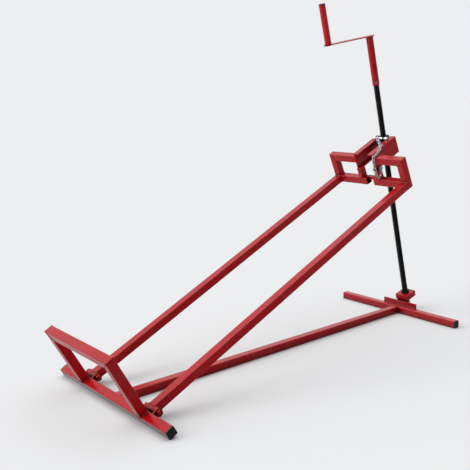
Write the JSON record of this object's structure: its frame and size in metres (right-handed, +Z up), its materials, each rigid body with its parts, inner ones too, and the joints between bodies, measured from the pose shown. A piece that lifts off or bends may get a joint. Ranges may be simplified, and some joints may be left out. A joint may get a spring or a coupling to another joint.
{
  "type": "screw-operated machine lift",
  "caption": "Free-standing red steel lift for the front of a ride-on mower: a hinged frame with two load hoops raised by a hand-cranked spindle.",
  "frame": {"origin": "on the floor, in the middle of the whole lift's length and width", "axes": "+Z up; +Y from the toe end towards the crank end; +X to the right when looking along +Y"},
  "size_m": [0.52, 1.3838, 1.0806],
  "materials": {
    "red_paint": "gloss powder coat",
    "black_steel": "black oxide, lightly oiled",
    "black_plastic": "moulded matt",
    "zinc": "bright zinc plate"
  },
  "bodies": {
    "base": {"rear_bar": "red_paint", "rear_bar_caps": "black_plastic", "base_tube": "red_paint", "foot_bar": "red_paint", "foot_bar_caps": "black_plastic", "toe_upright_left": "red_paint", "toe_upright_right": "red_paint", "toe_cross_bar": "red_paint", "hinge_ears": "red_paint", "hinge_bolts": "red_paint", "hinge_washers": "red_paint", "hinge_nuts": "red_paint", "swivel_bracket": "red_paint", "swivel_lugs": "red_paint", "swivel_pin": "zinc", "swivel_pin_clips": "black_steel"},
    "lift_frame": {"hinge_sleeve_left": "red_paint", "hinge_sleeve_right": "red_paint", "arm_left": "red_paint", "arm_right": "red_paint", "hoop_post_left": "red_paint", "hoop_post_right": "red_paint", "hoop_lower_bar_left": "red_paint", "hoop_lower_bar_right": "red_paint", "hoop_upper_bar_left": "red_paint", "hoop_upper_bar_right": "red_paint", "inner_post_left": "red_paint", "inner_post_right": "red_paint", "rail_left": "red_paint", "rail_right": "red_paint", "lower_tie_bar": "red_paint", "nut_pin": "zinc", "pin_saddles": "zinc", "chain": "zinc", "chain_ring": "zinc", "chain_screw": "zinc"},
    "nut": {"nut_block": "black_steel"},
    "swivel": {"swivel_block": "red_paint"},
    "spindle": {"spindle_rod": "black_steel", "thrust_collar": "black_steel", "retaining_ring": "black_steel", "crank_sleeve": "red_paint", "crank_bolt": "zinc", "crank_arm": "red_paint", "handle_axle": "red_paint", "handle_cap": "black_plastic"},
    "grip": {"handle_grip": "red_paint"}
  },
  "joints": [
    {"name": "frame_lift", "type": "hinge", "parent": "base", "child": "lift_frame", "pos_m": [0, -0.5603, 0.02744], "axis": [1, 0, 0], "range_deg": [-24, 8]},
    {"name": "swivel_tilt", "type": "hinge", "parent": "base", "child": "swivel", "pos_m": [0, 0.6548, 0.035], "axis": [1, 0, 0], "range_deg": [-12, 4]},
    {"name": "nut_swivel", "type": "hinge", "parent": "lift_frame", "child": "nut", "pos_m": [0, 0.48706, 0.64352], "axis": [1, 0, 0], "range_deg": [-4, 12]},
    {"name": "spindle_turn", "type": "hinge", "parent": "swivel", "child": "spindle", "pos_m": [0, 0.66926, 0.03899], "axis": [0, -0.2657, 0.964], "continuous": true},
    {"name": "handle_spin", "type": "hinge", "parent": "spindle", "child": "grip", "pos_m": [-0.08528, 0.30707, 0.94948], "axis": [0, -0.2657, 0.964], "continuous": true}
  ],
  "couplings": [
    {"joint": "swivel_tilt", "follows": "frame_lift", "ratio": 0.5},
    {"joint": "nut_swivel", "follows": "frame_lift", "ratio": -0.5}
  ]
}
